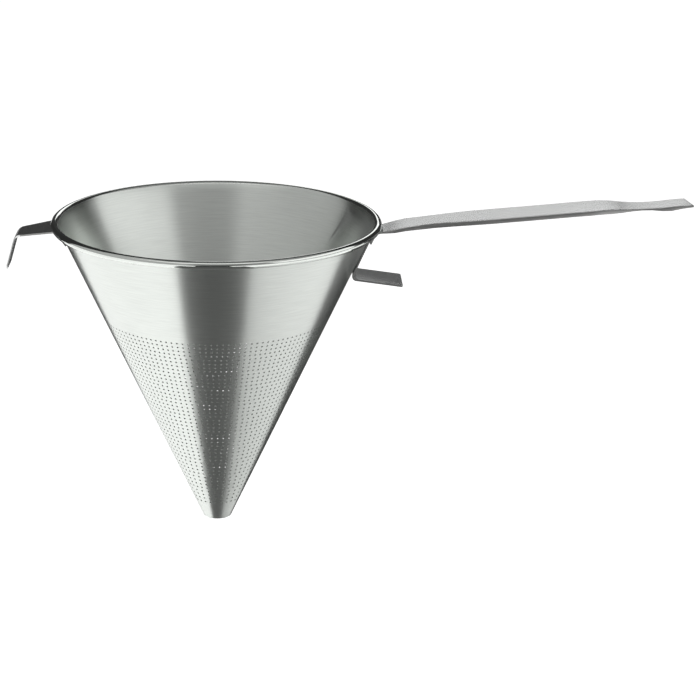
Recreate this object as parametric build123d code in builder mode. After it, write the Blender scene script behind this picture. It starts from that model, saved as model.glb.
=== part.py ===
from build123d import *
from math import asin, atan2, cos, degrees, hypot, radians, sin, sqrt, tan
import os

# Chinois strainer: a cone of thin sheet steel that hangs in a pot, with a long handle on one side,
# a rest tab under the handle and a hook on the opposite side.
# Millimetres. Origin: centre of the rim's curl. +Z is up along the cone's axis, +X is the handle's side.

# Cone
rim_d = 200.0
depth = 188.5
tip_d = 16.7
sheet_t = 0.7
wire_d = 3.2
wire_clearance = 0.05
curl_sweep = 300.0
cap_h = 12.0
cap_corner_r = 1.2

# Perforated field: each opening stands for a patch of the real sheet's fine holes, five wide and four high
plain_band_h = 55.0
opening_w = 5.5
opening_h = 4.4
opening_rows = 11
top_row_openings = 25
fewer_openings = 2

# Strip that the handle, the bracket and the hook are bent from
strip_t = 1.2
seat_clearance = 0.05

# Handle
handle_reach = 187.0
handle_rise = 17.0
handle_w = 26.6
handle_hem_h = 3.0
handle_hem_w = 2.8
handle_edge_r = 0.9
handle_end_slant = 3.7
handle_foot_w = 19.4
handle_foot_drop = 6.5
handle_bend_r = 1.4
handle_root_run = 0.5

# Rest bracket, cut from a strip a little narrower than the handle
bracket_narrowing = 0.4
bracket_top = 5.2
bracket_bend_r = 1.3
tab_reach = 13.3
tab_end_slant = 1.2
tab_depth = 34.4
tab_tilt = 7.1
tab_corner_r = 0.8

# Pot hook
hook_root_w = 31.5
hook_tip_w = 19.6
hook_foot_depth = 12.0
hook_arm_depth = 3.4
hook_arm_tilt = 9.6
hook_reach = 21.0
hook_drop = 21.8
hook_drop_tilt = 15.5
hook_root_bend_r = 1.4
hook_bend_r = 4.2
hook_corner_r = 2.5

# How far a cutting shape runs past what it cuts
cut_over = 1.0

full_turn = 360.0

# Side view of the handle, from the rim outwards: share of the reach, share of the rise,
# and share of the turned-down edge that is there
side_view_shares = [
    (0.050, 0.050, 0.70),
    (0.171, 0.240, 1.0),
    (0.700, 0.815, 1.0),
    (0.834, 0.835, 0.10),
    (1.0, 1.0, 0.0),
]

# The same seen from above: share of the reach, share of the full width
plan_view_shares = [(0.128, 0.815), (0.330, 1.0), (0.684, 1.0), (0.834, 0.650), (1.0, 0.700)]

# Where the underside is open between the turned-down edges: start and end as shares of the reach
hollow_shares = [(0.03, 0.80), (0.89, 0.95)]

# Where a saddle turns flat, as a share of the way down the leg or up the foot
flat_share = 0.66

# Rim and wall, worked out from the sizes above
curl_in_r = wire_d / 2 + wire_clearance
curl_out_r = curl_in_r + sheet_t
rim_r = rim_d / 2
bead_r = rim_r - curl_out_r

# The wall runs from the tip to the inner side of the curl, which it meets without a corner
tip_to_bead = (bead_r - tip_d / 2, depth)
lean = atan2(*tip_to_bead) - asin(curl_in_r / hypot(*tip_to_bead))
wall_angle = 90 - degrees(lean)
wall_across = sheet_t / cos(lean)
joint_z = cap_h - depth
inner_floor_z = sheet_t - depth
row_drop = (-plain_band_h - joint_z) / opening_rows
first_row_z = -plain_band_h - row_drop / 2


def wall_r(z):
    """Outside radius of the cone at a height."""
    return bead_r - curl_in_r / cos(lean) + z * tan(lean)


def on_wall(z, off):
    """Point of the side view at a height, a square distance off the wall."""
    return (wall_r(z) + off / cos(lean), z)


def on_bead(radius, angle):
    """Point of the curl's section, at an angle round the wire's centre."""
    return (bead_r + radius * cos(radians(angle)), radius * sin(radians(angle)))


def opening(z):
    """Block that cuts one opening through the wall at a height, with its sides along the wall's slant."""
    half_rise = opening_h * cos(lean) / 2
    with BuildPart() as block:
        with BuildSketch(Plane.XZ):
            with BuildLine():
                Polyline(
                    on_wall(z - half_rise, cut_over),
                    on_wall(z + half_rise, cut_over),
                    on_wall(z + half_rise, -sheet_t - cut_over),
                    on_wall(z - half_rise, -sheet_t - cut_over),
                    close=True,
                )
            make_face()
        revolve(axis=Axis.Z, revolution_arc=degrees(opening_w / wall_r(z)))
    return block.part


def meet(a, a_angle, b, b_angle):
    """Point of the side view where a line through a meets a line through b."""
    ax, ay = cos(radians(a_angle)), sin(radians(a_angle))
    bx, by = cos(radians(b_angle)), sin(radians(b_angle))
    along = ((b[0] - a[0]) * by - (b[1] - a[1]) * bx) / (ax * by - ay * bx)
    return (a[0] + along * ax, a[1] + along * ay)


def saddle(width, z, off):
    """Section of a strip that hugs the round wall at a height."""
    half = width / 2
    mid_r = on_wall(z, off)[0] / cos(lean)
    outer_r = mid_r + strip_t / 2
    inner_r = mid_r - strip_t / 2
    outer_y = mid_r - sqrt(outer_r**2 - half**2)
    inner_y = mid_r - sqrt(inner_r**2 - half**2)
    with BuildSketch() as section:
        with BuildLine():
            ThreePointArc((-half, outer_y), (0, -strip_t / 2), (half, outer_y))
            Line((half, outer_y), (half, inner_y))
            ThreePointArc((half, inner_y), (0, strip_t / 2), (-half, inner_y))
            Line((-half, inner_y), (-half, outer_y))
        make_face()
    return section.sketch


def wall_plane(z, off):
    """Plane square to the wall's slant on the handle's side, its x along the strip's width."""
    x, height = on_wall(z, off)
    return Plane(origin=(x, 0, height), x_dir=(0, 1, 0), z_dir=(sin(lean), 0, cos(lean)))


# The sheet comes up inside the wire, over its top and down its outside
wrap_start = 90 + wall_angle
wrap_end = wrap_start - curl_sweep

with BuildPart() as cone:
    with BuildSketch(Plane.XZ):
        with BuildLine():
            Line((wall_r(joint_z), joint_z), on_bead(curl_in_r, wrap_start))
            CenterArc((bead_r, 0), curl_in_r, wrap_start, -curl_sweep)
            Line(on_bead(curl_in_r, wrap_end), on_bead(curl_out_r, wrap_end))
            CenterArc((bead_r, 0), curl_out_r, wrap_end, curl_sweep)
            Line(on_bead(curl_out_r, wrap_start), (wall_r(joint_z) - wall_across, joint_z))
            Line((wall_r(joint_z) - wall_across, joint_z), (wall_r(joint_z), joint_z))
        make_face()
    revolve(axis=Axis.Z)
    openings = []
    for row in range(opening_rows):
        row_openings = top_row_openings - row * fewer_openings
        pitch = full_turn / row_openings
        shift = pitch / 2 if row % 2 else 0
        block = opening(first_row_z - row * row_drop)
        for place in range(row_openings):
            openings.append(Rot(0, 0, place * pitch + shift) * block)
    add(openings, mode=Mode.SUBTRACT)

with BuildPart() as rim_wire:
    with BuildSketch(Plane.XZ):
        with Locations((bead_r, 0)):
            Circle(wire_d / 2)
    revolve(axis=Axis.Z)

# Cup that closes the point, butt welded to the end of the sheet
with BuildPart() as tip_cap:
    with BuildSketch(Plane.XZ):
        with BuildLine():
            Polyline(
                (wall_r(joint_z), joint_z),
                (wall_r(-depth), -depth),
                (0, -depth),
                (0, inner_floor_z),
                (wall_r(inner_floor_z) - wall_across, inner_floor_z),
                (wall_r(joint_z) - wall_across, joint_z),
                close=True,
            )
        make_face()
    revolve(axis=Axis.Z)
    rim_of_flat = tip_cap.edges().filter_by(GeomType.CIRCLE).group_by(Axis.Z)[0]
    fillet(rim_of_flat, cap_corner_r)

# Rest bracket: the leg hugs the wall at its top, turns flat, and bends out to the tab, whose end is cut aslant
bracket_w = handle_w - bracket_narrowing
leg_off = seat_clearance + strip_t / 2
tab_tip = (rim_r + tab_reach, -tab_depth - strip_t / 2)
tab_corner = meet(on_wall(0, leg_off), wall_angle, tab_tip, -tab_tilt)
tab_past_end = (tab_tip[0] + cut_over, tab_tip[1] - cut_over * tan(radians(tab_tilt)))
leg_flat_z = -bracket_top + (tab_corner[1] + bracket_top) * flat_share

with BuildPart() as rest_bracket:
    with BuildSketch(Plane.XZ):
        with BuildLine():
            FilletPolyline(
                on_wall(leg_flat_z, leg_off),
                tab_corner,
                tab_past_end,
                radius=bracket_bend_r + strip_t / 2,
            )
        trace(line_width=strip_t)
    extrude(amount=bracket_w / 2, both=True)
    with BuildSketch(Plane.XY.offset(tab_past_end[1] - strip_t)):
        with BuildLine():
            Polyline(
                (0, bracket_w / 2),
                (tab_tip[0] - tab_end_slant, bracket_w / 2),
                (tab_tip[0], -bracket_w / 2),
                (0, -bracket_w / 2),
                close=True,
            )
        make_face()
    extrude(amount=tab_depth, mode=Mode.INTERSECT)
    fillet(rest_bracket.edges().filter_by(Axis.Z), tab_corner_r)
    with BuildSketch(wall_plane(-bracket_top, leg_off)):
        add(saddle(bracket_w, -bracket_top, leg_off))
    with BuildSketch(wall_plane(leg_flat_z, leg_off)):
        Rectangle(bracket_w, strip_t)
    loft()

# Pot hook, drawn on the handle's side and then mirrored: foot, arm and drop
arm_start = (rim_r, -hook_arm_depth - strip_t / 2)
foot_corner = meet(on_wall(0, leg_off), wall_angle, arm_start, -hook_arm_tilt)
drop_corner = meet(arm_start, -hook_arm_tilt, (rim_r + hook_reach, 0), 90)
drop_end = (
    drop_corner[0] + hook_drop * sin(radians(hook_drop_tilt)),
    drop_corner[1] - hook_drop * cos(radians(hook_drop_tilt)),
)
foot_flat_z = foot_corner[1] - (hook_foot_depth + foot_corner[1]) * (1 - flat_share)

with BuildPart() as pot_hook:
    with BuildSketch(Plane.XZ):
        with BuildLine():
            FilletPolyline(
                on_wall(foot_flat_z, leg_off),
                foot_corner,
                drop_corner,
                drop_end,
                radius=[hook_root_bend_r + strip_t / 2, hook_bend_r + strip_t / 2],
            )
        trace(line_width=strip_t)
    extrude(amount=hook_root_w / 2, both=True)
    with BuildSketch(Plane.XY.offset(drop_end[1] - strip_t)):
        with BuildLine():
            half_root = hook_root_w / 2
            half_tip = hook_tip_w / 2
            foot_x = wall_r(-hook_foot_depth)
            far_x = drop_end[0] + strip_t
            Polyline(
                (foot_x, half_root),
                (rim_r, half_root),
                (drop_corner[0], half_tip),
                (far_x, half_tip),
                (far_x, -half_tip),
                (drop_corner[0], -half_tip),
                (rim_r, -half_root),
                (foot_x, -half_root),
                close=True,
            )
        make_face()
    extrude(amount=-drop_end[1] + strip_t, mode=Mode.INTERSECT)
    fillet(pot_hook.edges().filter_by(Axis.Y, reverse=True).group_by(Axis.Z)[0], hook_corner_r)
    with BuildSketch(wall_plane(-hook_foot_depth, leg_off)):
        add(saddle(hook_root_w, -hook_foot_depth, leg_off))
    with BuildSketch(wall_plane(foot_flat_z, leg_off)):
        Rectangle(hook_root_w, strip_t)
    loft()
    mirror(about=Plane.YZ, mode=Mode.REPLACE)

# Handle: foot on the bracket's leg, flat root under the rim, then the pressed strip
handle_foot_off = leg_off + strip_t + seat_clearance
root_top = -curl_out_r - seat_clearance
root_corner = meet(on_wall(0, handle_foot_off), wall_angle, (0, root_top - strip_t / 2), 0)
bend_length = (handle_bend_r + strip_t / 2) * tan(radians(wall_angle / 2))
root_x = root_corner[0] + bend_length + handle_root_run
foot_end_z = root_corner[1] - handle_foot_drop


def strip_line(points):
    """Smooth line that starts level and runs straight from its third point to its fourth."""
    straight = (points[3][0] - points[2][0], points[3][1] - points[2][1])
    end_run = (points[-1][0] - points[-2][0], points[-1][1] - points[-2][1])
    Spline(*points[:3], tangents=[(1, 0), straight])
    Line(points[2], points[3])
    Spline(*points[3:], tangents=[straight, end_run])


def side_face(shift, plain_h, hem_h):
    """Side view between a line some way below the top line and one that also follows the turned-down edge."""
    high = [(root_x, root_top - shift)]
    low = [(root_x, root_top - plain_h)]
    for run_share, rise_share, hem_share in side_view_shares:
        x = rim_r + run_share * handle_reach
        z = rise_share * handle_rise
        high.append((x, z - shift))
        low.append((x, z - plain_h - hem_share * (hem_h - plain_h)))
    for line in (high, low):
        line[-1] = (line[-1][0] + cut_over, line[-1][1])
    with BuildSketch() as face:
        with BuildLine():
            strip_line(high)
            strip_line(low)
            Line(high[0], low[0])
            Line(high[-1], low[-1])
        make_face()
    return face.sketch


def plan_face(inset):
    """The handle seen from above, drawn in from its edges by an inset; the far corner of its end is cut back."""
    edges = []
    for side in (1, -1):
        edge = [(root_x - cut_over, side * (handle_foot_w / 2 - inset))]
        for run_share, width_share in plan_view_shares:
            x = rim_r + run_share * handle_reach
            edge.append((x, side * (width_share * handle_w / 2 - inset)))
        edges.append(edge)
    far_edge, near_edge = edges
    far_edge[-1] = (far_edge[-1][0] - handle_end_slant, far_edge[-1][1])
    with BuildSketch() as outline:
        with BuildLine():
            strip_line(far_edge)
            strip_line(near_edge)
            Line(far_edge[0], near_edge[0])
            Line(far_edge[-1], near_edge[-1])
        make_face()
    return outline.sketch


def hollow(start_share, end_share):
    """Space between the turned-down edges, open downwards, to be taken out of the strip."""
    start_x = rim_r + start_share * handle_reach
    end_x = rim_r + end_share * handle_reach
    deep = handle_hem_h * 2
    with BuildPart() as space:
        with BuildSketch(handle_side):
            add(side_face(strip_t, deep, deep))
        extrude(amount=2 * handle_w)
        with BuildSketch(Plane.XY.offset(-handle_rise)):
            add(plan_face(handle_hem_w))
        extrude(amount=3 * handle_rise, mode=Mode.INTERSECT)
        with BuildSketch(handle_side):
            with Locations(((start_x + end_x) / 2, 0)):
                Rectangle(end_x - start_x, 4 * handle_rise)
        extrude(amount=2 * handle_w, mode=Mode.INTERSECT)
    return space.part


handle_side = Plane.XZ.offset(-handle_w)
hollows = [hollow(start_share, end_share) for start_share, end_share in hollow_shares]

with BuildPart() as handle:
    with BuildSketch(handle_side):
        add(side_face(0, strip_t, handle_hem_h))
    extrude(amount=2 * handle_w)
    with BuildSketch(Plane.XY.offset(-handle_rise)):
        add(plan_face(0))
    extrude(amount=3 * handle_rise, mode=Mode.INTERSECT)
    long_edges = handle.edges().sort_by(SortBy.LENGTH)[-4:]
    fillet(long_edges.sort_by(Axis.Z)[-2:], handle_edge_r)
    for space in hollows:
        add(space, mode=Mode.SUBTRACT)
    with BuildSketch(Plane.XZ.offset(-handle_foot_w / 2)):
        with BuildLine():
            FilletPolyline(
                on_wall(foot_end_z, handle_foot_off),
                root_corner,
                (root_x, root_corner[1]),
                radius=handle_bend_r + strip_t / 2,
            )
        trace(line_width=strip_t)
    extrude(amount=handle_foot_w)

os.makedirs("parts", exist_ok=True)
cone.part.label = "cone"
export_step(cone.part, "parts/cone.step")
rim_wire.part.label = "rim_wire"
export_step(rim_wire.part, "parts/rim_wire.step")
tip_cap.part.label = "tip_cap"
export_step(tip_cap.part, "parts/tip_cap.step")
handle.part.label = "handle"
export_step(handle.part, "parts/handle.step")
rest_bracket.part.label = "rest_bracket"
export_step(rest_bracket.part, "parts/rest_bracket.step")
pot_hook.part.label = "pot_hook"
export_step(pot_hook.part, "parts/pot_hook.step")
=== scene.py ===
import math

import bmesh
import bpy
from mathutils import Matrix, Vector


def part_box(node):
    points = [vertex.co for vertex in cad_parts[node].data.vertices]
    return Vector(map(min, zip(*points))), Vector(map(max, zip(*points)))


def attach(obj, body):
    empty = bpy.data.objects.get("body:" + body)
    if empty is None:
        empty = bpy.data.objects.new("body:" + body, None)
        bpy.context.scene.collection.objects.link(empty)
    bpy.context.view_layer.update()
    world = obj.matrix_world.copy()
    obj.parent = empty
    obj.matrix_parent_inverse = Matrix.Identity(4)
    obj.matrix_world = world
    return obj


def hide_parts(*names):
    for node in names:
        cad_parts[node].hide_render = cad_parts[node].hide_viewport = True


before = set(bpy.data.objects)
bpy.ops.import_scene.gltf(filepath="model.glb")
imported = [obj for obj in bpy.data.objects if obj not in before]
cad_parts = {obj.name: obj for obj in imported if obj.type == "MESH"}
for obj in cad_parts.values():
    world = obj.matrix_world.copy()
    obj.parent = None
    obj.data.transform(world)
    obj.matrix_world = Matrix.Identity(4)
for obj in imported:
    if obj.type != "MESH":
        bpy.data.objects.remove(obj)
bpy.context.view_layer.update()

MM = 0.001

# Thickness of the sheet and of the strips
SHEET = 0.7 * MM
STRIP = 1.2 * MM
# The curl round the rim wire: inner and outer radius, how far it goes round and in how many steps
CURL_IN = 1.65 * MM
CURL_OUT = CURL_IN + SHEET
CURL_SWEEP = math.radians(300)
CURL_STEPS = 15
# Gap at each welded seat
SEAT = 0.05 * MM
# How far the strips' edges are broken, and how sharp an edge has to be for that
EDGE_BREAK = 0.22 * MM
EDGE_ANGLE = math.radians(60)
# Edges under this angle are shaded smooth
SMOOTH_ANGLE = math.radians(35)
# Points this close along an axis are in one row, and points this close in all are one point
SAME_ROW = 0.02 * MM
SAME_POINT = 0.002 * MM

# The fine holes: blocks of four rows, with ten holes fewer round the cone from block to block
HOLE_R = 0.64 * MM
ROW_PITCH = 3.05 * MM
FIRST_ROW = -56.4 * MM
ROWS_IN_BLOCK = 4
BLOCKS = 11
FIRST_COUNT = 127
COUNT_STEP = 10
# How much of the drop from row to row a block goes on past its first and its last row
BLOCK_MARGIN = 0.36
# Share of a hole's pitch within which a point is taken to be at the hole's middle
ON_PITCH = 0.1
# Profile of the bevel that opens each hole with eight sides
HOLE_PROFILE = 0.086
# Every row starts at the cone's seam, at the back on the handle's side
SEAM_TURN = math.radians(-21)

# The rim and the point are drawn this far inside the CAD's box
RIM_INSIDE = 0.003 * MM
TIP_INSIDE = 0.001 * MM
RIM_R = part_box("cone")[1].y - RIM_INSIDE
JOINT_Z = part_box("cone")[0].z
TIP_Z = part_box("tip_cap")[0].z + TIP_INSIDE
JOINT_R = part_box("tip_cap")[1].x
# Radius of the circle that the curl's middle runs round
BEAD_R = RIM_R - CURL_OUT

# The wall's outside runs from the joint with the cap to the inner side of the curl
JOINT_TO_BEAD = (BEAD_R - JOINT_R, -JOINT_Z)
LEAN = math.atan2(*JOINT_TO_BEAD) - math.asin(CURL_IN / math.hypot(*JOINT_TO_BEAD))
ROW_DROP = ROW_PITCH * math.cos(LEAN)


def wall_r(z):
    """Outside radius of the cone at a height."""
    return JOINT_R + (z - JOINT_Z) * math.tan(LEAN)


# Modelling helpers

def deselect():
    """Back to object mode with nothing selected."""
    if bpy.context.object and bpy.context.object.mode != "OBJECT":
        bpy.ops.object.mode_set(mode="OBJECT")
    bpy.ops.object.select_all(action="DESELECT")


def edit(piece):
    """Only this piece, in edit mode, with nothing selected on it."""
    deselect()
    piece.select_set(True)
    bpy.context.view_layer.objects.active = piece
    bpy.ops.object.mode_set(mode="EDIT")
    bpy.ops.mesh.select_mode(type="VERT")
    bpy.ops.mesh.select_all(action="DESELECT")


def pick(piece, test):
    """Selects the points of a piece in edit mode whose place passes a test, and no others."""
    mesh = bmesh.from_edit_mesh(piece.data)
    for point in mesh.verts:
        point.select = test(point.co)
    mesh.select_flush_mode()
    mesh.select_flush(True)
    mesh.select_flush(False)
    bmesh.update_edit_mesh(piece.data)


def pick_faces(piece, test):
    """Selects the faces of a piece in edit mode that pass a test on centre and normal."""
    bpy.ops.mesh.select_mode(type="FACE")
    mesh = bmesh.from_edit_mesh(piece.data)
    for face in mesh.faces:
        face.select_set(test(face.calc_center_median(), face.normal))
    bmesh.update_edit_mesh(piece.data)


def add_ring(name, count, radius, height, turn=0.0):
    """Circle of points round the cone's axis, selected in edit mode."""
    deselect()
    bpy.ops.mesh.primitive_circle_add(
        vertices=count, radius=radius, location=(0, 0, height), rotation=(0, 0, turn)
    )
    piece = bpy.context.object
    piece.name = name
    piece.data.name = name
    bpy.ops.object.transform_apply(location=True, rotation=True, scale=True)
    bpy.ops.object.mode_set(mode="EDIT")
    bpy.ops.mesh.select_mode(type="VERT")
    bpy.ops.mesh.select_all(action="SELECT")
    return piece


def draw_ring(old, new):
    """Draws the selected ring out from one (radius, height) to the next."""
    bpy.ops.mesh.extrude_edges_move(TRANSFORM_OT_translate={"value": (0, 0, new[1] - old[1])})
    ratio = new[0] / old[0]
    bpy.ops.transform.resize(value=(ratio, ratio, 1), center_override=(0, 0, 0))


def draw_rings(profile):
    """Draws the selected ring through a profile of (radius, height), from its first point."""
    for old, new in zip(profile, profile[1:]):
        draw_ring(old, new)


def near(value, goal):
    """Whether two places along an axis are in one row."""
    return abs(value - goal) < SAME_ROW


def use(piece, kind, name, **settings):
    """Adds a modifier to a piece and applies it."""
    deselect()
    piece.select_set(True)
    bpy.context.view_layer.objects.active = piece
    modifier = piece.modifiers.new(name, kind)
    for key, value in settings.items():
        setattr(modifier, key, value)
    bpy.ops.object.modifier_apply(modifier=modifier.name)


def smooth(piece):
    """Smooth shading, apart from the sharp edges."""
    deselect()
    piece.select_set(True)
    bpy.context.view_layer.objects.active = piece
    bpy.ops.object.shade_smooth_by_angle(angle=SMOOTH_ANGLE)


def level_faces(piece):
    """Keeps the shading of the broad faces flat up to their broken edges."""
    use(piece, "WEIGHTED_NORMAL", "level_faces", weight=100, keep_sharp=True)


def face_out(piece, wall_z):
    """Turns every face of an open sheet one way, away from the axis at a height of its wall."""
    edit(piece)
    bpy.ops.mesh.select_all(action="SELECT")
    bpy.ops.mesh.normals_make_consistent(inside=False)
    mesh = bmesh.from_edit_mesh(piece.data)
    wall = min(mesh.faces, key=lambda face: abs(face.calc_center_median().z - wall_z))
    spot = wall.calc_center_median()
    if wall.normal.x * spot.x + wall.normal.y * spot.y < 0:
        bpy.ops.mesh.flip_normals()
    bpy.ops.object.mode_set(mode="OBJECT")


# Perforated cone with its wired rim

# Rows of points of the plain band, as shares of the way from the first block up to the curl
BAND_ROWS = (0, 0.05, 0.25, 0.5, 0.75, 0.93)


def block_heights(block):
    """Heights of a block's top edge, its rows of holes and its bottom edge."""
    rows = [FIRST_ROW - (block * ROWS_IN_BLOCK + row) * ROW_DROP for row in range(ROWS_IN_BLOCK)]
    margin = ROW_DROP * BLOCK_MARGIN
    return [rows[0] + margin, *rows, rows[-1] - margin]


def hole_block(block):
    """One block of the perforated field: rings of points, where each second point of a row of holes
    is bevelled to eight sides and cut out."""
    count = FIRST_COUNT - COUNT_STEP * block
    heights = block_heights(block)
    profile = [(wall_r(z), z) for z in heights]
    piece = add_ring(f"block_{block}", 2 * count, *profile[0], SEAM_TURN)
    draw_rings(profile)
    rows = heights[1:-1]

    def at_hole(place):
        if not any(near(place.z, row) for row in rows):
            return False
        pitches = (math.atan2(place.y, place.x) - math.pi / 2 - SEAM_TURN) * count / math.tau
        return abs(pitches - round(pitches)) < ON_PITCH

    pick(piece, at_hole)
    bpy.ops.mesh.bevel(
        offset=HOLE_R, offset_type="OFFSET", segments=2, profile=HOLE_PROFILE, affect="VERTICES"
    )
    bpy.ops.mesh.delete(type="FACE")
    return piece


def make_cone():
    """The cone: blocks of holes, the plain band and curl above them and the plain edge below."""
    blocks = [hole_block(block) for block in range(BLOCKS)]

    # Plain band and curl above the first block
    edit(blocks[0])
    top_z = block_heights(0)[0]
    pick(blocks[0], lambda place: near(place.z, top_z))
    start = math.pi - LEAN
    tangent_z = CURL_IN * math.sin(start)
    band = [top_z + share * (tangent_z - top_z) for share in BAND_ROWS]
    profile = [(wall_r(z), z) for z in band]
    for step in range(CURL_STEPS + 1):
        angle = start - CURL_SWEEP * step / CURL_STEPS
        profile.append((BEAD_R + CURL_IN * math.cos(angle), CURL_IN * math.sin(angle)))
    draw_rings(profile)

    # Plain edge below the last block
    edit(blocks[-1])
    end_z = block_heights(BLOCKS - 1)[-1]
    pick(blocks[-1], lambda place: near(place.z, end_z))
    draw_ring((wall_r(end_z), end_z), (JOINT_R, JOINT_Z))

    deselect()
    for block in blocks:
        block.select_set(True)
    bpy.context.view_layer.objects.active = blocks[0]
    bpy.ops.object.join()
    cone = blocks[0]
    cone.name = "perforated_cone"
    cone.data.name = "perforated_cone"

    # The blocks are joined by the plain strips between them
    for block in range(BLOCKS - 1):
        above = block_heights(block)[-1]
        below = block_heights(block + 1)[0]
        edit(cone)
        pick(cone, lambda place: near(place.z, above) or near(place.z, below))
        bpy.ops.mesh.bridge_edge_loops()

    edit(cone)
    bpy.ops.mesh.select_all(action="SELECT")
    bpy.ops.mesh.remove_doubles(threshold=SAME_POINT)
    face_out(cone, band[2])
    use(cone, "SOLIDIFY", "sheet", thickness=SHEET, offset=-1, use_even_offset=True)
    smooth(cone)
    return cone


# Cap that closes the point

CAP_CORNER_R = 1.2 * MM
CAP_CORNER_STEPS = 5
CAP_COLUMNS = 72
# The ring below the cap's edge and the innermost ring of its flat, as shares of height and radius
CAP_EDGE_SHARE = 0.02
CAP_FLAT_SHARE = 0.4


def make_cap():
    """The cap: the wall from the cone's lower edge down, a rounded corner and the flat."""
    tip_r = wall_r(TIP_Z)
    reach = CAP_CORNER_R * math.tan((math.pi / 2 - LEAN) / 2)
    centre = (tip_r - reach, TIP_Z + CAP_CORNER_R)
    edge_z = JOINT_Z + (TIP_Z - JOINT_Z) * CAP_EDGE_SHARE
    middle_z = (JOINT_Z + TIP_Z) / 2
    profile = [(JOINT_R, JOINT_Z), (wall_r(edge_z), edge_z), (wall_r(middle_z), middle_z)]
    for step in range(CAP_CORNER_STEPS + 1):
        angle = -LEAN - (math.pi / 2 - LEAN) * step / CAP_CORNER_STEPS
        profile.append(
            (centre[0] + CAP_CORNER_R * math.cos(angle), centre[1] + CAP_CORNER_R * math.sin(angle))
        )
    profile.append((tip_r * CAP_FLAT_SHARE, TIP_Z))
    piece = add_ring("point_cap", CAP_COLUMNS, *profile[0])
    draw_rings(profile)
    bpy.ops.mesh.extrude_edges_move(TRANSFORM_OT_translate={"value": (0, 0, 0)})
    bpy.ops.mesh.merge(type="CENTER")
    face_out(piece, middle_z)
    use(piece, "SOLIDIFY", "sheet", thickness=SHEET, offset=-1, use_even_offset=True)
    smooth(piece)
    return piece


# Strips

# Columns of faces across a bent strip, and rows of faces on its flat part on the wall
STRIP_COLUMNS = 8
WALL_ROWS = 4
# Share of the part on the wall that is flat in side view, before its bend
FLAT_SHARE = 0.66


def rounded(points, radii, steps=6):
    """Line through the points of a side view (x, z), with its corners rounded."""
    line = [points[0]]
    for before, corner, after, radius in zip(points, points[1:], points[2:], radii):
        corner = Vector(corner)
        back = (Vector(before) - corner).normalized()
        ahead = (Vector(after) - corner).normalized()
        half = back.angle(ahead) / 2
        centre = corner + (back + ahead).normalized() * radius / math.sin(half)
        start = corner + back * radius / math.tan(half) - centre
        end = corner + ahead * radius / math.tan(half) - centre
        first = math.atan2(start.y, start.x)
        sweep = (math.atan2(end.y, end.x) - first + math.pi) % math.tau - math.pi
        for step in range(steps + 1):
            angle = first + sweep * step / steps
            line.append((centre.x + radius * math.cos(angle), centre.y + radius * math.sin(angle)))
    line.append(points[-1])
    return line


def meet(a, a_angle, b, b_angle):
    """Point of the side view where a line through a meets a line through b."""
    ax, az = math.cos(a_angle), math.sin(a_angle)
    bx, bz = math.cos(b_angle), math.sin(b_angle)
    along = ((b[0] - a[0]) * bz - (b[1] - a[1]) * bx) / (ax * bz - az * bx)
    return (a[0] + along * ax, a[1] + along * az)


def on_wall(z, off):
    """Point of the side view at a height, a square distance off the wall."""
    return (wall_r(z) + off / math.cos(LEAN), z)


def wall_rows(start_z, end_z):
    """Rows of a strip's part on the wall, from height to height, as points of the side view."""
    start, end = Vector(on_wall(start_z, SEAT)), Vector(on_wall(end_z, SEAT))
    return [tuple(start.lerp(end, row / WALL_ROWS)) for row in range(WALL_ROWS + 1)]


def draw_ribbon(name, line, width):
    """Strip with no thickness yet, drawn row by row along a line of its side view."""
    deselect()
    bpy.ops.mesh.primitive_plane_add(size=width, location=(line[0][0], 0, line[0][1]))
    piece = bpy.context.object
    piece.name = name
    piece.data.name = name
    bpy.ops.object.transform_apply(location=True, rotation=True, scale=True)
    edit(piece)
    pick(piece, lambda place: place.x > line[0][0])
    bpy.ops.mesh.delete(type="VERT")
    bpy.ops.mesh.select_all(action="SELECT")
    shift = line[0][0] - piece_centre(piece).x
    bpy.ops.transform.translate(value=(shift, 0, 0))
    bpy.ops.mesh.subdivide(number_cuts=STRIP_COLUMNS - 1)
    bpy.ops.mesh.select_all(action="SELECT")
    for old, new in zip(line, line[1:]):
        move = (new[0] - old[0], 0, new[1] - old[1])
        bpy.ops.mesh.extrude_edges_move(TRANSFORM_OT_translate={"value": move})
    return piece


def piece_centre(piece):
    """Middle of a piece in edit mode."""
    mesh = bmesh.from_edit_mesh(piece.data)
    total = Vector((0, 0, 0))
    for point in mesh.verts:
        total += point.co
    return total / len(mesh.verts)


def hug_wall(piece, rows, width):
    """Bends rows of a strip round the wall. Each row is a point and its share of the bend."""
    for (x, z), share in rows:
        radius = on_wall(z, SEAT)[0] / math.cos(LEAN)
        for column in range(STRIP_COLUMNS // 2):
            y = width / 2 - column * width / STRIP_COLUMNS
            sink = share * (radius - math.sqrt(radius**2 - y**2))
            pick(
                piece,
                lambda place: near(place.x, x) and near(place.z, z) and near(abs(place.y), y),
            )
            side = math.copysign(1, x)
            bpy.ops.transform.translate(
                value=(-side * sink * math.cos(LEAN), 0, sink * math.sin(LEAN))
            )


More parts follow.
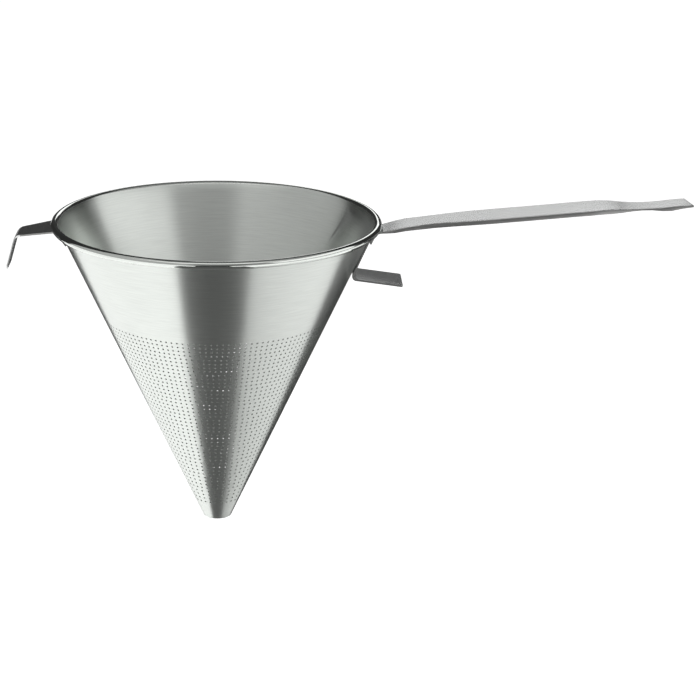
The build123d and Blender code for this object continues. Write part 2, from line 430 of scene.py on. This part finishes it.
def thicken(piece, outwards):
    """Gives a strip its thickness on the side away from its line, and breaks its edges."""
    edit(piece)
    bpy.ops.mesh.select_all(action="SELECT")
    bpy.ops.mesh.normals_make_consistent(inside=False)
    mesh = bmesh.from_edit_mesh(piece.data)
    face = min(mesh.faces, key=lambda one: one.calc_center_median().z)
    if face.normal.dot(Vector(outwards)) < 0:
        bpy.ops.mesh.flip_normals()
    bpy.ops.object.mode_set(mode="OBJECT")
    use(piece, "SOLIDIFY", "strip", thickness=STRIP, offset=1, use_even_offset=True)
    edit(piece)
    bpy.ops.mesh.select_all(action="SELECT")
    bpy.ops.mesh.normals_make_consistent(inside=False)
    bpy.ops.object.mode_set(mode="OBJECT")
    use(
        piece, "BEVEL", "broken_edges", width=EDGE_BREAK, segments=2, limit_method="ANGLE",
        angle_limit=EDGE_ANGLE,
    )
    smooth(piece)
    level_faces(piece)


def round_corners(piece, test, radius):
    """Rounds the corners of a strip that pass a test, seen square to it."""
    pick(piece, test)
    bpy.ops.mesh.bevel(
        offset=radius, offset_type="OFFSET", segments=4, profile=0.5, affect="VERTICES"
    )


# Rest bracket under the handle: leg on the wall, bend and tab

BRACKET_W = 26.2 * MM
BRACKET_TOP = -5.2 * MM
BRACKET_BEND_R = 1.3 * MM
TAB_REACH = 13.3 * MM
TAB_END_SLANT = 1.2 * MM
TAB_DEPTH = 34.4 * MM
TAB_TILT = math.radians(7.1)
TAB_CORNER_R = 0.8 * MM
# How far from the tab's end its corners are looked for
TAB_END_ZONE = 1.5 * TAB_END_SLANT
# Share of the wall's curve that each row of the leg and of its bend has, from the top down
LEG_HUG = (1, 0.95, 0.88, 0.78, 0.62, 0.4, 0.15)


def make_bracket():
    """The bracket, drawn along its under face: leg on the wall, bend, tab with a slanted end."""
    tab_end = (RIM_R + TAB_REACH, -TAB_DEPTH)
    corner = meet(on_wall(0, SEAT + STRIP), math.pi / 2 - LEAN, tab_end, -TAB_TILT)
    tab_end_under = (
        tab_end[0] - STRIP * math.sin(TAB_TILT), tab_end[1] - STRIP * math.cos(TAB_TILT)
    )
    corner_under = meet(on_wall(0, SEAT), math.pi / 2 - LEAN, tab_end_under, -TAB_TILT)
    flat_z = BRACKET_TOP + (corner[1] - BRACKET_TOP) * FLAT_SHARE
    leg = wall_rows(BRACKET_TOP, flat_z)
    tab = rounded(
        [on_wall(flat_z, SEAT), corner_under, tab_end_under], [BRACKET_BEND_R + STRIP]
    )
    piece = draw_ribbon("rest_tab_bracket", leg[:-1] + tab, BRACKET_W)
    hug_wall(piece, zip(leg + tab[1:3], LEG_HUG), BRACKET_W)

    # The end is cut aslant: its near corner stays and the far one is drawn back
    end_x = tab_end_under[0]
    for column in range(STRIP_COLUMNS + 1):
        y = BRACKET_W * (column / STRIP_COLUMNS - 0.5)
        back = TAB_END_SLANT * column / STRIP_COLUMNS
        pick(piece, lambda place: near(place.x, end_x) and near(place.y, y))
        bpy.ops.transform.translate(value=(-back, 0, back * math.tan(TAB_TILT)))

    def at_corner(place):
        return place.x > end_x - TAB_END_ZONE and near(abs(place.y), BRACKET_W / 2)

    round_corners(piece, at_corner, TAB_CORNER_R)
    thicken(piece, (0, 0, 1))
    return piece


# Hook opposite the handle: foot on the wall, tapering arm and drop

HOOK_ROOT_W = 31.5 * MM
HOOK_TIP_W = 19.6 * MM
HOOK_FOOT = -12.0 * MM
HOOK_ARM_DEPTH = 3.4 * MM
HOOK_ARM_TILT = math.radians(9.6)
HOOK_REACH = 21.0 * MM
HOOK_DROP = 21.8 * MM
HOOK_DROP_TILT = math.radians(15.5)
HOOK_ROOT_BEND_R = 1.4 * MM
HOOK_BEND_R = 4.2 * MM
HOOK_CORNER_R = 2.5 * MM
# Share of the arm past the curl before which there is no taper
TAPER_FROM = 0.01


def make_hook():
    """The hook: foot on the wall, arm and drop, with a taper from the rim to the bend."""
    half = STRIP / 2
    middle = SEAT + half
    arm_start = (RIM_R, -HOOK_ARM_DEPTH - half)
    foot_corner = meet(on_wall(0, middle), math.pi / 2 - LEAN, arm_start, -HOOK_ARM_TILT)
    drop_corner = meet(arm_start, -HOOK_ARM_TILT, (RIM_R + HOOK_REACH, 0), math.pi / 2)
    drop_end = (
        drop_corner[0] + HOOK_DROP * math.sin(HOOK_DROP_TILT),
        drop_corner[1] - HOOK_DROP * math.cos(HOOK_DROP_TILT),
    )
    flat_z = foot_corner[1] + (HOOK_FOOT - foot_corner[1]) * (1 - FLAT_SHARE)

    # The line that is drawn is the face on the wall, the arm's top and the drop's outside
    drop_angle = math.atan2(drop_end[1] - drop_corner[1], drop_end[0] - drop_corner[0])
    arm_top = (arm_start[0], -HOOK_ARM_DEPTH)
    drop_out = (
        drop_end[0] + half * math.cos(HOOK_DROP_TILT),
        drop_end[1] + half * math.sin(HOOK_DROP_TILT),
    )
    outer_foot = meet(on_wall(0, SEAT), math.pi / 2 - LEAN, arm_top, -HOOK_ARM_TILT)
    outer_drop = meet(arm_top, -HOOK_ARM_TILT, drop_out, drop_angle)
    arm = rounded(
        [on_wall(flat_z, SEAT), outer_foot, outer_drop, drop_out],
        [HOOK_ROOT_BEND_R + STRIP, HOOK_BEND_R + STRIP],
    )
    line = [(-x, z) for x, z in wall_rows(HOOK_FOOT, flat_z)[:-1] + arm]
    piece = draw_ribbon("hanging_hook", line, HOOK_ROOT_W)
    rows = [(line[row], 1 - row / WALL_ROWS) for row in range(WALL_ROWS)]
    hug_wall(piece, rows, HOOK_ROOT_W)

    # Taper from below the rim to the bend
    for x, z in line:
        run = (-x - RIM_R) / (drop_corner[0] - RIM_R)
        if run > TAPER_FROM:
            width = HOOK_ROOT_W + (HOOK_TIP_W - HOOK_ROOT_W) * min(run, 1)
            pick(piece, lambda place: near(place.x, x) and near(place.z, z))
            bpy.ops.transform.resize(value=(1, width / HOOK_ROOT_W, 1), center_override=(x, 0, z))
    end = line[-1]

    def at_corner(place):
        at_end = near(place.x, end[0]) and near(place.z, end[1])
        return at_end and near(abs(place.y), HOOK_TIP_W / 2)

    round_corners(piece, at_corner, HOOK_CORNER_R)
    thicken(piece, (1, 0, 0))
    return piece


# Handle: foot on the bracket's leg, root under the rim, strip with turned-down sides, neck, tongue

HANDLE_FOOT_W = 19.4 * MM
HANDLE_FOOT_EDGE_R = 0.42 * MM
HANDLE_BEND_R = 1.4 * MM
HANDLE_BEND_STEPS = 8
HANDLE_FOOT = -9.7 * MM
HANDLE_ROOT_END = 98.4 * MM
# In mm: distance from the rim's centre, height of the top, width, height of the turned-down side
HANDLE_RUN = [
    (99.5, -2.1, 19.4, 1.2), (101.6, -1.62, 19.8, 1.5), (104, -1.02, 20.8, 1.9),
    (108, 0.0, 22.4, 2.4), (114, 1.4, 22.9, 2.6), (123, 2.75, 21.7, 2.9),
    (132, 4.0, 21.8, 3.0), (141, 5.05, 23.5, 3.0), (153, 6.3, 25.7, 3.0),
    (165.5, 7.45, 26.6, 3.0), (190, 9.85, 26.6, 3.0), (214, 12.3, 26.6, 3.0),
    (226, 13.45, 26.6, 3.0), (232, 14.0, 25.6, 3.0), (238, 14.2, 23.2, 3.0),
    (244, 13.95, 20.9, 2.3), (250, 13.9, 18.6, 1.5), (256, 14.1, 17.2, 1.2),
    (262, 14.45, 17.6, 1.3), (268, 15.0, 18.4, 2.2), (274, 15.75, 18.9, 2.7),
    (280, 16.4, 18.8, 2.0), (288, 16.9, 18.6, 1.2),
]
# Where the slanted end is on the camera's side and on the far side
END_NEAR = 286.9 * MM
END_FAR = 283.2 * MM
# Hollows of the underside, in mm: where each starts and ends, and the width left all round it
HOLLOWS = [(104, 244, 2.8), (262, 280, 1.6)]
# A hollow is lifted this much before its rows are set to their heights
FIRST_LIFT = 0.3 * MM
# Points this close to a lifted one are the same point
LIFTED_POINT = 0.01 * MM
# Upward part of the normal of a face that looks down
FACES_DOWN = -0.9


def make_handle():
    """The handle, drawn section by section from the foot to the end, then hollowed from below."""
    root_top = -CURL_OUT - SEAT
    wall_side = SEAT + STRIP + SEAT
    corner = meet(on_wall(0, wall_side), math.pi / 2 - LEAN, (0, root_top), 0)
    top_line = rounded(
        [on_wall(HANDLE_FOOT, wall_side), corner, (HANDLE_ROOT_END, root_top)],
        [HANDLE_BEND_R + STRIP],
        HANDLE_BEND_STEPS,
    )

    # Section of the foot: a plane across the strip, with its four corners rounded
    start = top_line[0]
    deselect()
    bpy.ops.mesh.primitive_plane_add(size=1, location=(0, 0, 0))
    piece = bpy.context.object
    piece.name = "pressed_handle"
    piece.data.name = "pressed_handle"
    bpy.ops.object.mode_set(mode="EDIT")
    bpy.ops.mesh.select_mode(type="VERT")
    bpy.ops.mesh.select_all(action="SELECT")
    bpy.ops.transform.resize(value=(STRIP, HANDLE_FOOT_W, 1))
    bpy.ops.mesh.bevel(
        offset=HANDLE_FOOT_EDGE_R, offset_type="OFFSET", segments=4, profile=0.5, affect="VERTICES"
    )
    bpy.ops.mesh.select_all(action="SELECT")
    bpy.ops.transform.translate(value=(start[0] + STRIP / 2, 0, start[1]))
    bpy.ops.transform.rotate(value=-LEAN, orient_axis="Y", center_override=(start[0], 0, start[1]))

    # Foot, then the bend, whose sections turn from square to the wall to upright
    turn = -(math.pi / 2 - LEAN) / (len(top_line) - 3)
    for number, (old, new) in enumerate(zip(top_line, top_line[1:])):
        move = (new[0] - old[0], 0, new[1] - old[1])
        bpy.ops.mesh.extrude_region_move(TRANSFORM_OT_translate={"value": move})
        if 0 < number < len(top_line) - 2:
            bpy.ops.transform.rotate(
                value=turn, orient_axis="Y", center_override=(new[0], 0, new[1])
            )

    # Pressed strip: each section is as wide and as deep as its station says
    run = [tuple(size * MM for size in station) for station in HANDLE_RUN]
    old = (*top_line[-1], HANDLE_FOOT_W, STRIP)
    for new in run:
        move = (new[0] - old[0], 0, new[1] - old[1])
        bpy.ops.mesh.extrude_region_move(TRANSFORM_OT_translate={"value": move})
        bpy.ops.transform.resize(
            value=(1, new[2] / old[2], new[3] / old[3]), center_override=(new[0], 0, new[1])
        )
        old = new

    # Slanted end
    half = run[-1][2] / 2
    end_normal = Vector((2 * half, END_NEAR - END_FAR, 0)).normalized()
    bpy.ops.mesh.select_all(action="SELECT")
    bpy.ops.mesh.bisect(
        plane_co=(END_NEAR, -half, 0), plane_no=end_normal, clear_outer=True, use_fill=True
    )
    bpy.ops.mesh.select_all(action="SELECT")
    bpy.ops.mesh.normals_make_consistent(inside=False)

    # Underside, open between the turned-down sides
    for start_x, end_x, hem in HOLLOWS:
        def underneath(centre, normal):
            between = start_x * MM < centre.x < end_x * MM
            return between and normal.z < FACES_DOWN and abs(centre.y) < MM

        pick_faces(piece, underneath)
        bpy.ops.mesh.inset(thickness=hem * MM, depth=0, use_even_offset=True)
        bpy.ops.mesh.extrude_region_move(TRANSFORM_OT_translate={"value": (0, 0, FIRST_LIFT)})
        mesh = bmesh.from_edit_mesh(piece.data)
        lifted = [point.co.copy() for point in mesh.verts if point.select]
        bpy.ops.mesh.select_mode(type="VERT")
        for place in sorted({round(point.x / MM, 2) * MM for point in lifted}):
            height = side_height(run, place)
            tops = [point for point in lifted if near(point.x, place)]
            pick(piece, lambda spot: any((spot - top).length < LIFTED_POINT for top in tops))
            bpy.ops.transform.translate(value=(0, 0, height - STRIP - FIRST_LIFT))
    finish_strip(piece)
    return piece


def side_height(run, x):
    """Height of the handle's turned-down side at a distance from the rim's centre."""
    for old, new in zip(run, run[1:]):
        if old[0] <= x <= new[0]:
            return old[3] + (new[3] - old[3]) * (x - old[0]) / (new[0] - old[0])
    return STRIP


def finish_strip(piece):
    """Merges what is left double, and shades the piece."""
    edit(piece)
    bpy.ops.mesh.select_all(action="SELECT")
    bpy.ops.mesh.remove_doubles(threshold=SAME_POINT)
    bpy.ops.mesh.normals_make_consistent(inside=False)
    bpy.ops.object.mode_set(mode="OBJECT")
    smooth(piece)
    level_faces(piece)


# Materials

# Brushing: how finely its noise repeats across the marks, round the cone and along a strip
ACROSS_MARKS = 1 / MM
ROUND_CONE = 2.5
ALONG_STRIP = 25.0
# Values of the noise between which the colour goes from a dark streak's to the steel's own, and
# how bright a dark streak is against it
STREAK_RANGE = (0.3, 0.7)
DARK_STREAK = 0.86
# Patches of roughness, how much the streaks add to them, the range of their sum, and how far the
# ends of that range move the roughness down and up
PATCH_SCALE = 22.0
STREAK_SHARE = 0.35
ROUGH_RANGE = (0.3, 1.05)
ROUGH_LESS, ROUGH_MORE = 0.02, 0.04
MARK_DEPTH = 0.02 * MM
# Over this distance the steel turns from brushed to polished, which is this much as rough
POLISH_EDGE = 0.6 * MM
POLISHED = 0.22


def node(tree, kind, **values):
    """Adds a node, with values for its settings or its inputs."""
    made = tree.nodes.new(kind)
    for key, value in values.items():
        if hasattr(made, key):
            setattr(made, key, value)
        else:
            made.inputs[key].default_value = value
    return made


def join(tree, *pairs):
    """Links each pair of an output and an input."""
    for source, goal in pairs:
        tree.links.new(source, goal)


def remap(tree, start, end, low=0.0, high=1.0, **values):
    """Adds a node that maps the range from start to end onto low to high."""
    made = node(tree, "ShaderNodeMapRange", **values)
    ends = {"From Min": start, "From Max": end, "To Min": low, "To Max": high}
    for key, value in ends.items():
        made.inputs[key].default_value = value
    return made


def brushed_steel(
    name, brushing, colour, rough, streak_scale, strength=0.12, stretch=0.7, polished_from=None
):
    """Brushed stainless steel: fine streaks along the brushing, patches of roughness and a gloss
    that is stretched. brushing is "round" for marks round the cone or "along" for marks along a
    strip. Further than polished_from off the axis the steel is shinier, as on the rolled curl."""
    material = bpy.data.materials.new(name)
    material.use_nodes = True
    tree = material.node_tree
    shader = tree.nodes["Principled BSDF"]
    shader.inputs["Metallic"].default_value = 1.0
    shader.inputs["Anisotropic"].default_value = stretch
    place = node(tree, "ShaderNodeTexCoord")
    split = node(tree, "ShaderNodeSeparateXYZ")
    join(tree, (place.outputs["Object"], split.inputs[0]))

    # Place along the marks and across them
    flat = node(tree, "ShaderNodeCombineXYZ")
    stretched = node(tree, "ShaderNodeVectorMath", operation="MULTIPLY")
    join(tree, (split.outputs["Z"], flat.inputs["Z"]), (flat.outputs[0], stretched.inputs[0]))
    if brushing == "round":
        angle = node(tree, "ShaderNodeMath", operation="ARCTAN2")
        join(
            tree,
            (split.outputs["Y"], angle.inputs[0]),
            (split.outputs["X"], angle.inputs[1]),
            (angle.outputs[0], flat.inputs["X"]),
        )
        stretched.inputs[1].default_value = (ROUND_CONE, 1, ACROSS_MARKS)
    else:
        join(
            tree, (split.outputs["X"], flat.inputs["X"]), (split.outputs["Y"], flat.inputs["Y"])
        )
        stretched.inputs[1].default_value = (ALONG_STRIP, ACROSS_MARKS, ACROSS_MARKS)
    streaks = node(tree, "ShaderNodeTexNoise", Scale=streak_scale, Detail=6.0, Roughness=0.65)
    patches = node(tree, "ShaderNodeTexNoise", Scale=PATCH_SCALE, Detail=3.0, Roughness=0.5)
    join(
        tree,
        (stretched.outputs[0], streaks.inputs["Vector"]),
        (place.outputs["Object"], patches.inputs["Vector"]),
    )

    # Colour
    tone = remap(tree, *STREAK_RANGE)
    blend = node(tree, "ShaderNodeMix", data_type="RGBA")
    blend.inputs["A"].default_value = (*(DARK_STREAK * part for part in colour), 1)
    blend.inputs["B"].default_value = (*colour, 1)
    join(
        tree,
        (streaks.outputs["Fac"], tone.inputs["Value"]),
        (tone.outputs[0], blend.inputs["Factor"]),
        (blend.outputs["Result"], shader.inputs["Base Color"]),
    )

    # Roughness
    mixed = node(tree, "ShaderNodeMath", operation="MULTIPLY_ADD")
    mixed.inputs[1].default_value = STREAK_SHARE
    gloss = remap(tree, *ROUGH_RANGE, rough - ROUGH_LESS, rough + ROUGH_MORE)
    join(
        tree,
        (streaks.outputs["Fac"], mixed.inputs[0]),
        (patches.outputs["Fac"], mixed.inputs[2]),
        (mixed.outputs[0], gloss.inputs["Value"]),
    )
    if polished_from is None:
        join(tree, (gloss.outputs[0], shader.inputs["Roughness"]))
    else:
        level = node(tree, "ShaderNodeCombineXYZ")
        off_axis = node(tree, "ShaderNodeVectorMath", operation="LENGTH")
        rolled = remap(tree, polished_from - POLISH_EDGE, polished_from, 1.0, POLISHED)
        shine = node(tree, "ShaderNodeMath", operation="MULTIPLY")
        join(
            tree,
            (split.outputs["X"], level.inputs["X"]),
            (split.outputs["Y"], level.inputs["Y"]),
            (level.outputs[0], off_axis.inputs[0]),
            (off_axis.outputs["Value"], rolled.inputs["Value"]),
            (gloss.outputs[0], shine.inputs[0]),
            (rolled.outputs[0], shine.inputs[1]),
            (shine.outputs[0], shader.inputs["Roughness"]),
        )

    # Fine relief of the marks
    bump = node(tree, "ShaderNodeBump", Strength=strength, Distance=MARK_DEPTH)
    join(
        tree,
        (streaks.outputs["Fac"], bump.inputs["Height"]),
        (bump.outputs[0], shader.inputs["Normal"]),
    )

    # The gloss stretches across the marks: up the wall, or from side to side of a strip
    surface = node(tree, "ShaderNodeNewGeometry")
    stretch_way = node(tree, "ShaderNodeVectorMath", operation="CROSS_PRODUCT")
    if brushing == "round":
        round_axis = node(tree, "ShaderNodeVectorMath", operation="CROSS_PRODUCT")
        round_axis.inputs[0].default_value = (0, 0, 1)
        join(
            tree,
            (place.outputs["Object"], round_axis.inputs[1]),
            (surface.outputs["Normal"], stretch_way.inputs[0]),
            (round_axis.outputs[0], stretch_way.inputs[1]),
        )
    else:
        stretch_way.inputs[0].default_value = (1, 0, 0)
        join(tree, (surface.outputs["Normal"], stretch_way.inputs[1]))
    join(tree, (stretch_way.outputs[0], shader.inputs["Tangent"]))
    return material


# The hook's drop, further out than this, keeps its edges as bright as its faces, with no painted
# shade on them
BRIGHT_EDGES_FROM = -RIM_R - 0.72 * HOOK_REACH
# Sideways part of the normal of a strip's cut edge
FACES_SIDEWAYS = 0.8


def put_on(piece, material, shaded_edges=None):
    """Gives a piece its material, and its cut edges, which face sideways, a second one: a darker
    steel that carries painted shade.
    """
    piece.data.materials.clear()
    piece.data.materials.append(material)
    if shaded_edges:
        piece.data.materials.append(shaded_edges)
        for face in piece.data.polygons:
            if abs(face.normal.y) > FACES_SIDEWAYS and face.center.x > BRIGHT_EDGES_FROM:
                face.material_index = 1


sheet_steel = brushed_steel(
    "sheet_steel", "round", (0.775, 0.805, 0.77), rough=0.3, streak_scale=1.6, strength=0.08,
    stretch=0.85, polished_from=BEAD_R - CURL_IN,
)
strip_steel = brushed_steel(
    "strip_steel", "along", (0.76, 0.77, 0.765), rough=0.24, streak_scale=1.4, strength=0.2
)
# Darker steel on the strips' cut edges: painted shade for the dark lines that light and reflection
# give along those edges
edge_painted_shade_steel = brushed_steel(
    "edge_painted_shade_steel", "along", (0.34, 0.34, 0.335), rough=0.4, streak_scale=1.4, stretch=0.2
)
wire_steel = brushed_steel(
    "wire_steel", "round", (0.5, 0.5, 0.49), rough=0.35, streak_scale=1.2
)

cone = make_cone()
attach(cone, "root")
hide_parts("cone")
put_on(cone, sheet_steel)

cap = make_cap()
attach(cap, "root")
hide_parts("tip_cap")
put_on(cap, sheet_steel)

STRIPS = {"handle": make_handle, "rest_bracket": make_bracket, "pot_hook": make_hook}
for name, make in STRIPS.items():
    strip = make()
    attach(strip, "root")
    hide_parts(name)
    put_on(strip, strip_steel, edge_painted_shade_steel)

put_on(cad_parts["rim_wire"], wire_steel)


# Studio

def glow_material(name, light):
    """Plain glow of one strength, or one that changes sideways through pairs of a distance and a
    strength."""
    material = bpy.data.materials.new(name)
    material.use_nodes = True
    tree = material.node_tree
    tree.nodes.clear()
    out = tree.nodes.new("ShaderNodeOutputMaterial")
    glow = node(tree, "ShaderNodeEmission")
    join(tree, (glow.outputs[0], out.inputs["Surface"]))
    if isinstance(light, float):
        glow.inputs["Strength"].default_value = light
        return material
    place = node(tree, "ShaderNodeTexCoord")
    split = node(tree, "ShaderNodeSeparateXYZ")
    start, end = light[0][0], light[-1][0]
    across = remap(tree, start, end)
    ramp = node(tree, "ShaderNodeValToRGB")
    set_ramp(ramp, [((far - start) / (end - start), strength) for far, strength in light])
    join(
        tree,
        (place.outputs["Object"], split.inputs[0]),
        (split.outputs["X"], across.inputs["Value"]),
        (across.outputs[0], ramp.inputs["Fac"]),
        (ramp.outputs["Color"], glow.inputs["Strength"]),
    )
    return material


def set_ramp(ramp, greys):
    """Fills a colour ramp with greys, each a place from 0 to 1 and how bright it is."""
    stops = ramp.color_ramp.elements
    while len(stops) < len(greys):
        stops.new(0.5)
    for stop, (place, light) in zip(stops, greys):
        stop.position = place
        stop.color = (light, light, light, 1)


def add_card(name, centre, size, light, upright=False, far_share=1.0):
    """Card that only the steel's reflections show: flat over the floor, or upright and facing the
    camera's side. far_share is how wide its far edge is against its near one."""
    deselect()
    turn = (math.pi / 2, 0, 0) if upright else (0, 0, 0)
    bpy.ops.mesh.primitive_plane_add(size=1, location=centre, rotation=turn)
    card = bpy.context.object
    card.name = name
    card.scale = (*size, 1)
    bpy.ops.object.transform_apply(location=True, rotation=True, scale=True)
    edit(card)
    pick(card, lambda place: place.y > centre[1])
    bpy.ops.transform.resize(value=(far_share, 1, 1), center_override=centre)
    bpy.ops.object.mode_set(mode="OBJECT")
    put_on(card, glow_material(name, light))
    card.visible_camera = False
    card.visible_diffuse = False
    card.visible_shadow = False


# White floor under the strainer, which glows for the camera and in the steel's reflections only
FLOOR_DROP = 0.26
FLOOR_Z = TIP_Z - FLOOR_DROP
FLOOR_SIZE = 16
FLOOR_GLOW = 0.77
deselect()
bpy.ops.mesh.primitive_plane_add(size=FLOOR_SIZE, location=(0, 0, FLOOR_Z))
floor = bpy.context.object
floor.name = "floor"
floor_look = bpy.data.materials.new("floor_white")
floor_look.use_nodes = True
floor_tree = floor_look.node_tree
floor_shader = floor_tree.nodes["Principled BSDF"]
floor_shader.inputs["Base Color"].default_value = (0.9, 0.9, 0.9, 1)
floor_shader.inputs["Roughness"].default_value = 0.9
floor_shader.inputs["Specular IOR Level"].default_value = 0.0
floor_out = floor_tree.nodes["Material Output"]
seen_white = node(floor_tree, "ShaderNodeEmission")
ray = node(floor_tree, "ShaderNodeLightPath")
camera_or_gloss = node(floor_tree, "ShaderNodeMath", operation="MAXIMUM")
shown = node(floor_tree, "ShaderNodeMath", operation="MAXIMUM")
glow = node(floor_tree, "ShaderNodeMath", operation="MULTIPLY")
glow.inputs[1].default_value = FLOOR_GLOW
both = node(floor_tree, "ShaderNodeAddShader")
join(
    floor_tree,
    (ray.outputs["Is Camera Ray"], camera_or_gloss.inputs[0]),
    (ray.outputs["Is Glossy Ray"], camera_or_gloss.inputs[1]),
    (camera_or_gloss.outputs[0], shown.inputs[0]),
    (ray.outputs["Is Transmission Ray"], shown.inputs[1]),
    (shown.outputs[0], glow.inputs[0]),
    (glow.outputs[0], seen_white.inputs["Strength"]),
    (floor_shader.outputs[0], both.inputs[0]),
    (seen_white.outputs[0], both.inputs[1]),
    (both.outputs[0], floor_out.inputs["Surface"]),
)
put_on(floor, floor_look)

# Room light by direction: grey in front of the strainer, paler to both sides, dim behind.
# How far sideways, from the hook's side to the handle's, and how bright the room is there
ROOM = [(-1, 0.52), (-0.3, 0.48), (-0.12, 0.18), (0.3, 0.15), (0.45, 0.3), (1, 0.36)]
# Between these two the light goes over from the room's to what is behind the strainer
BEHIND_STARTS, BEHIND_FULL = 0.35, 0.47
BEHIND_LIGHT = 0.04
world = bpy.data.worlds.new("studio")
bpy.context.scene.world = world
world.use_nodes = True
world_tree = world.node_tree
backdrop = world_tree.nodes["Background"]
direction = node(world_tree, "ShaderNodeTexCoord")
parts = node(world_tree, "ShaderNodeSeparateXYZ")
sideways = remap(world_tree, -1, 1)
room = node(world_tree, "ShaderNodeValToRGB")
set_ramp(room, [((place + 1) / 2, light) for place, light in ROOM])
behind = remap(world_tree, BEHIND_STARTS, BEHIND_FULL, interpolation_type="SMOOTHSTEP")
whole = node(world_tree, "ShaderNodeMix", data_type="RGBA")
whole.inputs["B"].default_value = (BEHIND_LIGHT, BEHIND_LIGHT, BEHIND_LIGHT, 1)
join(
    world_tree,
    (direction.outputs["Generated"], parts.inputs[0]),
    (parts.outputs["X"], sideways.inputs["Value"]),
    (parts.outputs["Y"], behind.inputs["Value"]),
    (sideways.outputs[0], room.inputs["Fac"]),
    (behind.outputs[0], whole.inputs["Factor"]),
    (room.outputs["Color"], whole.inputs["A"]),
    (whole.outputs["Result"], backdrop.inputs["Color"]),
)


def area_light(name, place, aim, size, power):
    """Lamp with a lit rectangle, turned towards its aim."""
    light = bpy.data.lights.new(name, "AREA")
    light.shape = "RECTANGLE"
    light.size, light.size_y = size
    light.energy = power
    lamp = bpy.data.objects.new(name, light)
    bpy.context.collection.objects.link(lamp)
    lamp.location = place
    lamp.rotation_euler = (Vector(aim) - Vector(place)).to_track_quat("-Z", "Y").to_euler()
    return lamp


top_box = area_light("top_box", (0, 0.3, 2.2), aim=(0, 0, 0), size=(1.6, 1.6), power=20)
top_box.visible_glossy = False
area_light("right_box", (1.05, -0.25, 0.48), aim=(0, 0, -0.02), size=(1.5, 0.7), power=2.8)

# Cards over the floor: a dark wedge in front for the cone's dark streak, a pale patch at its right,
# a grey one under the point, and the dim room behind. The pale card lies under the others
CARD_Z = FLOOR_Z + 4 * MM
PALE_Z = FLOOR_Z + 2 * MM
# How far to the right on the pale card, and how bright it is there
PALE = [(0.1, 0.3), (0.22, 0.72), (0.36, 0.95), (0.62, 0.98)]
add_card("front_card", (0.0, -0.575, CARD_Z), size=(0.84, 1.05), light=0.11, far_share=0.28)
add_card("near_card", (0.02, -4.5, CARD_Z), size=(3.0, 6.8), light=0.02, far_share=0.167)
add_card("pale_card", (0.36, 0.0, PALE_Z), size=(0.52, 0.8), light=PALE)
add_card("right_card", (0.58, 0.97, CARD_Z), size=(0.76, 1.26), light=0.05)
add_card("under_card", (0.0, 0.125, CARD_Z), size=(0.2, 0.35), light=0.22)
add_card("back_card", (0.035, 1.4, CARD_Z), size=(0.45, 2.2), light=0.05)
add_card("left_card", (-0.46, 1.64, CARD_Z), size=(0.52, 1.92), light=0.05)

# Light for the handle's top, and a grey flag for the tab
add_card("handle_card", (0.16, 1.5, 0.61), size=(0.56, 0.48), light=1.4, upright=True)
add_card("tab_flag", (0.112, 0.05, -0.03), size=(0.09, 0.055), light=0.15, upright=True)

# Cards overhead for the inside and the rim, and dark flags behind them at both sides
add_card("top_card", (0, 0.3, 2.2), size=(1.6, 1.6), light=0.2)
add_card("brow_card", (0, -0.5, 0.8), size=(0.7, 0.5), light=1.05, far_share=2.2)
add_card("right_flag", (1.0, 0.95, 0.8), size=(1.16, 2.48), light=0.03, upright=True)
add_card("left_flag", (-1.3, 0.95, 1.0), size=(1.76, 2.88), light=0.03, upright=True)

# Camera: its place, tilt and roll come from the outlines of the rim and the cone in the photo
CAMERA_PLACE = (81.66 * MM, -1550.21 * MM, 403.13 * MM)
LOOK_DOWN = math.radians(17.30)
ROLL = math.radians(0.741)
# Scale at the rim's centre, how far off it is in mm, and the frame's width and the sensor's
PIXELS_PER_MM = 1.6524
CAMERA_RANGE = 1600
FRAME_PIXELS = 700
SENSOR_MM = 36
camera_data = bpy.data.cameras.new("camera")
camera_data.sensor_width = SENSOR_MM
camera_data.lens = SENSOR_MM * PIXELS_PER_MM * CAMERA_RANGE / FRAME_PIXELS
camera_data.clip_start = 0.05
camera = bpy.data.objects.new("camera", camera_data)
bpy.context.collection.objects.link(camera)
camera.location = CAMERA_PLACE
camera.rotation_mode = "XYZ"
camera.rotation_euler = (math.pi / 2 - LOOK_DOWN, 0, 0)
camera.rotation_euler.rotate_axis("Z", ROLL)
bpy.context.scene.camera = camera

bpy.context.scene.view_settings.view_transform = "Standard"

deselect()
